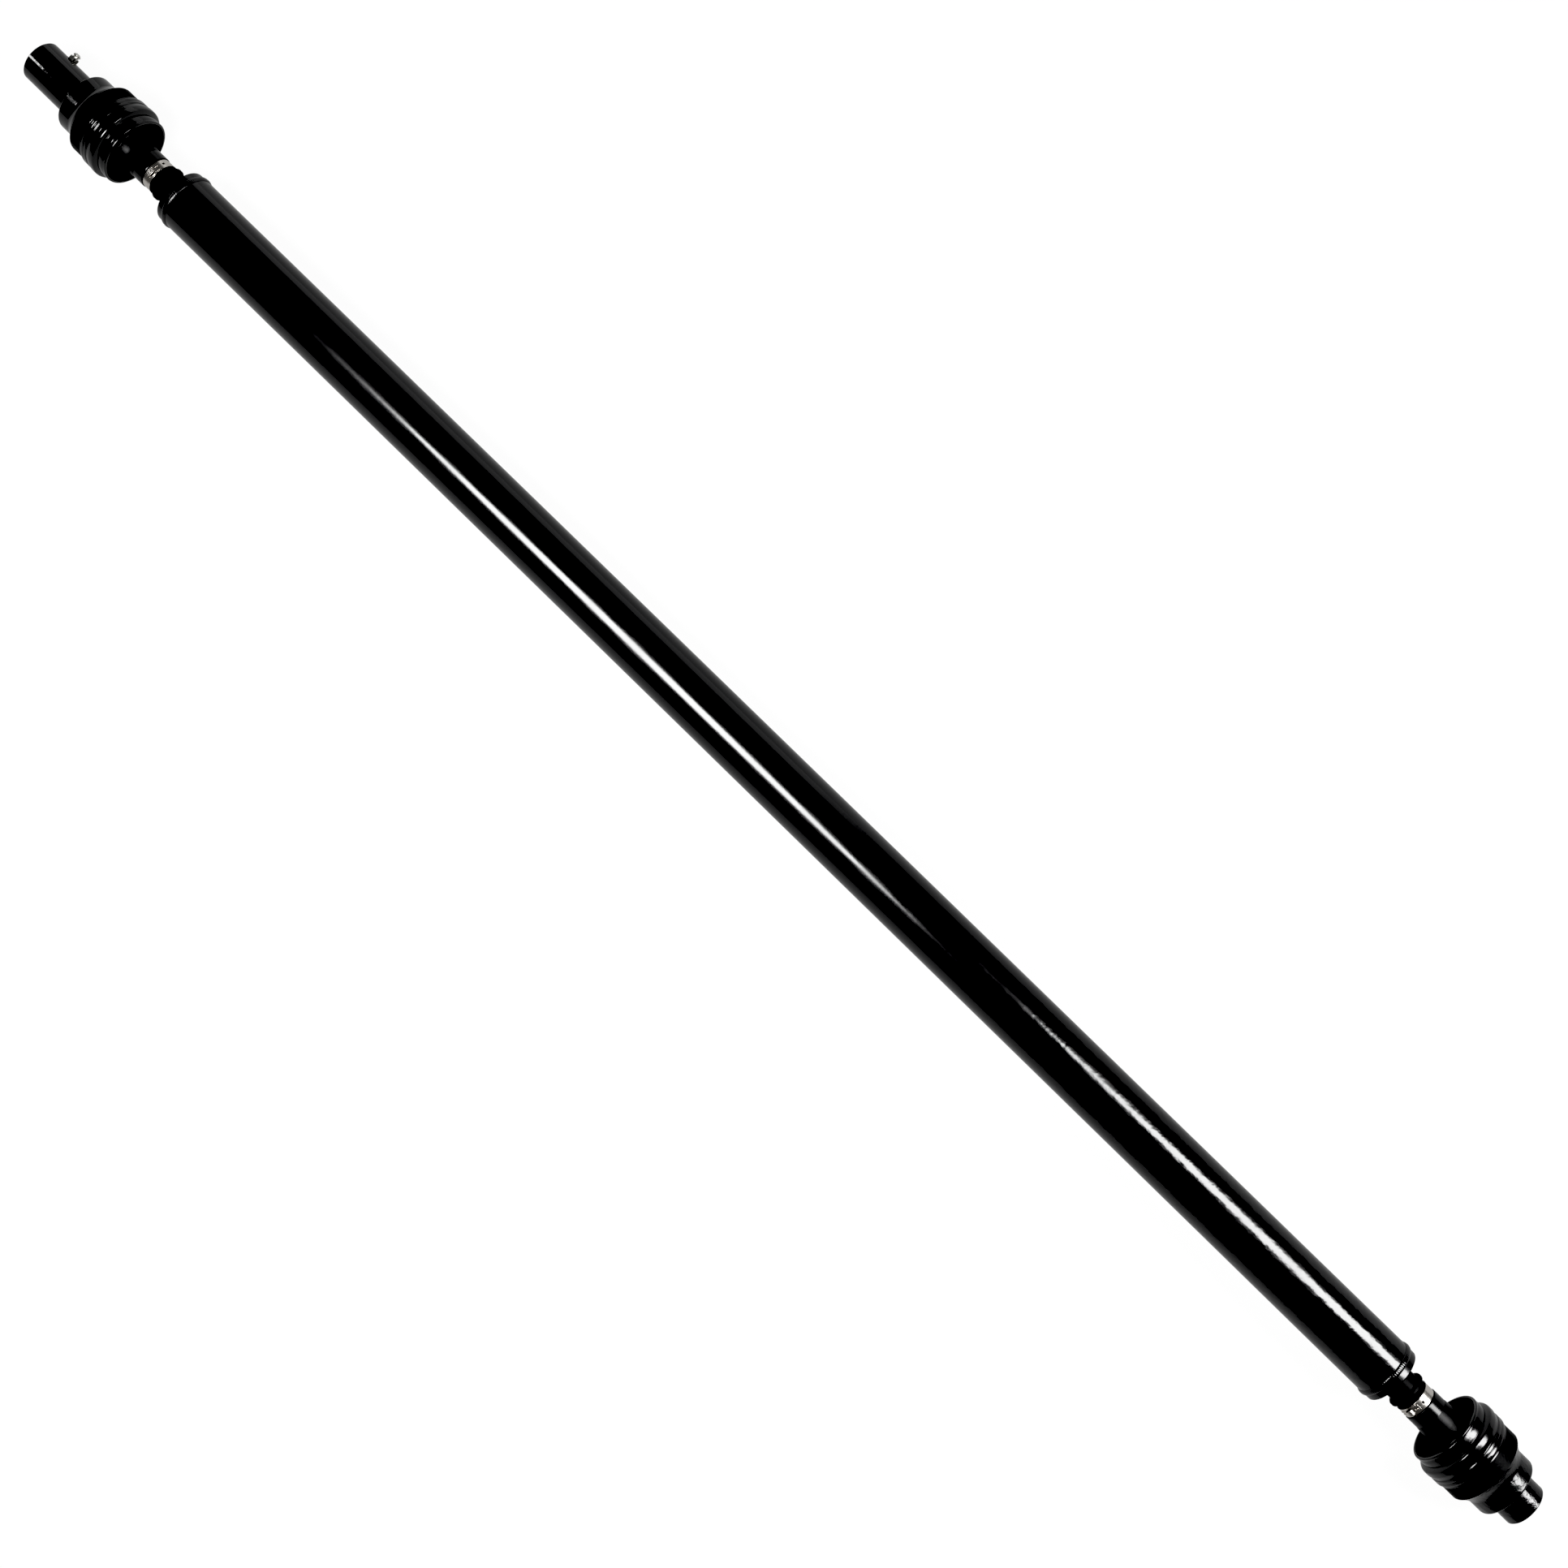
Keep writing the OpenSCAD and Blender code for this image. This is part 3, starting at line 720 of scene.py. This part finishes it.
def make_fitting():
    """Hexagon body with chamfered corners, neck and domed nipple, standing on the front hub."""
    low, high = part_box("grease_fitting")
    centre_x, centre_z = (low.x + high.x) / 2, (low.z + high.z) / 2
    foot, tip = low.y, high.y
    seat = tip - 8.1 * MM
    hex_top = seat + 4.2 * MM
    flat_r, corner_r = (high.z - low.z) / 2, (high.x - low.x) / 2
    stem_r, neck_r, head_r = 3 * MM, 2.9 * MM, 3.3 * MM
    bore_r, foot_bore_r, tip_bore_r = 1.6 * MM, 0.9 * MM, 0.95 * MM
    outline = [
        (foot, foot_bore_r), (foot, 2.7 * MM), (foot + 0.4 * MM, stem_r), (seat, stem_r),
        (seat + 0.01 * MM, flat_r - 0.2 * MM), (seat + 0.35 * MM, corner_r),
        (hex_top - 0.6 * MM, corner_r), (hex_top, flat_r - 0.3 * MM),
        (hex_top + 0.05 * MM, neck_r), (hex_top + 0.4 * MM, 2.5 * MM),
        (hex_top + 0.9 * MM, 2.45 * MM), (hex_top + 1.3 * MM, neck_r),
        (hex_top + 1.6 * MM, head_r), (tip - 1.5 * MM, head_r),
        (tip - 0.9 * MM, head_r - 0.5 * MM), (tip - 0.25 * MM, head_r - 1.5 * MM),
        (tip, 1.5 * MM), (tip, 1.1 * MM), (tip - 0.3 * MM, tip_bore_r), (tip - 1.1 * MM, tip_bore_r),
        (tip - 1.4 * MM, bore_r), (foot + 1 * MM, bore_r), (foot + 0.6 * MM, foot_bore_r),
    ]
    steps = 96
    bm = bmesh.new()
    rings = []
    for i in range(steps):
        turn = 2 * math.pi * i / steps
        side_turn = (turn + math.pi / 6) % (math.pi / 3) - math.pi / 6
        hexagon_r = flat_r / math.cos(side_turn)
        ring = []
        for y, r in outline:
            reach = min(r, hexagon_r) if seat < y < hex_top + 0.01 * MM else r
            x, z = centre_x + reach * math.sin(turn), centre_z + reach * math.cos(turn)
            ring.append(bm.verts.new((x, y, z)))
        rings.append(ring)
    join_rings(bm, rings)
    piece = new_piece("grease_nipple", bm, [ZINC], 28)
    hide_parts("grease_fitting")
    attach(piece, ENDS[0].body("hub"))


# ---------------------------------------------------------------- refined CAD pieces

# Where one finish gives way to another
CAP_STATION = -83.5 * MM
CONE_STATION = 14 * MM
RACE_BORE_R = 27 * MM
HUB_BORE_R = 17.5 * MM


def make_refined(end):
    """Smooth copies of the CAD nodes whose shapes are right, each on its own body."""
    name = end.name
    hub, cage = end.body("hub"), end.body("ball_cage")
    mouth_station = end.span("spline_hub")[1] - 0.1 * MM

    def beyond(middle, station):
        return end.side * (middle.x - end.x_at(station)) > 0

    def shaft_finish(middle, normal):
        """Glossy on the cap, dull on the neck and collar."""
        return int(beyond(middle, CAP_STATION))

    def race_finish(middle, normal):
        """Bare steel inside, glossy on the neck, rough on the bell."""
        if middle.yz.length < RACE_BORE_R and middle.yz.dot(normal.yz) < 0:
            return 2
        return 0 if beyond(middle, CONE_STATION) else 1

    def hub_finish(middle, normal):
        """Bare steel in the bore, paint on the outside and on the mouth's rim."""
        return int(middle.yz.length < HUB_BORE_R and not beyond(middle, mouth_station))

    stub_paints = [CAP_PAINT, COLLAR_PAINT]
    race_paints = [NECK_PAINT[name], BELL_PAINT, RACE_STEEL]
    hub_paints = [NECK_PAINT[name], BORE_STEEL]
    parts = [
        ("stub_shaft", stub_paints, 0.25 * MM, "painted_steel", "shaft", shaft_finish),
        ("outer_race", race_paints, 0.2 * MM, "painted_steel", hub, race_finish),
        ("spline_hub", hub_paints, 0.0, "painted_steel", hub, hub_finish),
        ("grease_plug", [PLUG_STEEL], 0.0, "plug_steel", hub, None),
        ("hub_seal", [SEAL_RUBBER], 0.0, "seal_rubber", hub, None),
        ("can_seal", [SEAL_RUBBER], 0.0, "seal_rubber", hub, None),
        ("inner_race", [RACE_STEEL], 0.0, "ground_steel", "shaft", None),
        ("race_circlip", [SPRING_STEEL], 0.1 * MM, "spring_steel", "shaft", None),
        ("cage", [RACE_STEEL], 0.0, "ground_steel", cage, None),
        ("side_balls", [BALL_STEEL], 0.0, "ball_steel", cage, None),
        ("top_ball", [BALL_STEEL], 0.0, "ball_steel", end.body("lead_ball"), None),
        ("bottom_ball", [BALL_STEEL], 0.0, "ball_steel", end.body("trail_ball"), None),
    ]
    for part, materials, bevel, slot_name, body, choose in parts:
        piece = refined(end.node(part), materials, bevel, choose)
        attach(piece, body)


def make_valve():
    """The grease fitting's check ball, on its own body, and its spring."""
    ball = refined("grease_check_ball", [BALL_STEEL])
    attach(ball, "front_check_ball")
    spring = refined("grease_spring", [SPRING_STEEL])
    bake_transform(spring)


# ---------------------------------------------------------------- stage, light, camera

def seen_directly(tree, seen, reflected):
    """A level with one value where a surface is looked at, and another where it lights things."""
    path = tree.nodes.new("ShaderNodeLightPath")
    level = tree.nodes.new("ShaderNodeMapRange")
    level.inputs["To Min"].default_value = reflected
    level.inputs["To Max"].default_value = seen
    tree.links.new(path.outputs["Is Camera Ray"], level.inputs["Value"])
    return level.outputs["Result"]


def make_floor():
    """A plain white floor under the shaft that keeps only a faint shadow."""
    low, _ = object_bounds()
    bm = bmesh.new()
    bmesh.ops.create_grid(bm, x_segments=8, y_segments=8, size=9)
    bmesh.ops.translate(bm, verts=bm.verts, vec=(0, 0, low.z))
    n = Nodes("white_floor")
    n.link(seen_directly(n.tree, 0.96, 0.45), n.shader.inputs["Emission Strength"])
    shade = n.mixed(n.noise(6), (0.035, 0.035, 0.035), (0.045, 0.045, 0.045))
    n.link(shade, n.shader.inputs["Base Color"])
    n.set(Emission_Color=(1, 1, 1, 1), Roughness=0.9, Specular_IOR_Level=0.1)
    new_piece("floor", bm, [n.material])


def facing(right, up, back, place):
    """The matrix of a light or camera at a place, looking away from back."""
    return Matrix.Translation(place) @ Matrix((right, up, back)).transposed().to_4x4()


def soft_light(name, start, stop, width, radiance, shape="RECTANGLE"):
    """A long soft light between two points, its face turned towards the shaft."""
    start, stop = Vector(start), Vector(stop)
    data = bpy.data.lights.new(name, "AREA")
    data.shape = shape
    data.size = (stop - start).length
    data.size_y = width
    data.energy = radiance * math.pi * data.size * width
    light = bpy.data.objects.new(name, data)
    along = (stop - start).normalized()
    middle = (start + stop) / 2
    back = middle - Vector((middle.x, 0, 0))
    back = (back - back.dot(along) * along).normalized()
    light.matrix_world = facing(along, back.cross(along), back, middle)
    bpy.context.scene.collection.objects.link(light)


def make_lights():
    """Two strips over one side of the shaft, a softbox over its rear, a dim panel by its front."""
    soft_light("long_strip", (-0.86, -0.47, 1.2), (0.2, -0.47, 1.2), 0.5, 17, "ELLIPSE")
    soft_light("front_strip", (-1.9, -0.5, 1.2), (-1.7, -0.5, 1.2), 0.22, 20)
    soft_light("wide_softbox", (0.52, 0.57, 1.2), (1.95, 1.3, 1.2), 0.66, 15, "ELLIPSE")
    soft_light("side_panel", (-2.6, 1.6, 0.3), (0.1, 1.6, 0.3), 0.66, 0.65)
    world = bpy.data.worlds.new("studio")
    world.use_nodes = True
    background = world.node_tree.nodes["Background"]
    background.inputs["Color"].default_value = (1, 1, 1, 1)
    level = seen_directly(world.node_tree, 0.95, 0.06)
    world.node_tree.links.new(level, background.inputs["Strength"])
    bpy.context.scene.world = world


def make_camera():
    """Looks almost straight down on the shaft's middle, with the front end at the upper left."""
    distance = 1.5
    lean = 0.08478
    roll = math.radians(44.23)
    back = Vector((math.sin(lean), 0, math.cos(lean)))
    along = Vector((math.cos(lean), 0, -math.sin(lean)))
    side = Vector((0, 1, 0))
    right = along * math.cos(roll) + side * math.sin(roll)
    up = side * math.cos(roll) - along * math.sin(roll)
    data = bpy.data.cameras.new("camera")
    data.lens = 42.12
    data.sensor_width = 36
    data.shift_x = 0.0233
    data.shift_y = -0.0225
    camera = bpy.data.objects.new("camera", data)
    camera.matrix_world = facing(right, up, back, back * distance)
    bpy.context.scene.collection.objects.link(camera)
    bpy.context.scene.camera = camera
    view = bpy.context.scene.view_settings
    view.view_transform = "Standard"
    view.use_curve_mapping = True
    view.curve_mapping.black_level = (0.025, 0.025, 0.025)


# ---------------------------------------------------------------- build

make_camera()
make_tube()
for joint_end in ENDS:
    make_weld(joint_end)
    make_can(joint_end)
    make_boot(joint_end)
    make_clamp(joint_end)
    make_refined(joint_end)
make_fitting()
make_valve()
make_floor()
make_lights()
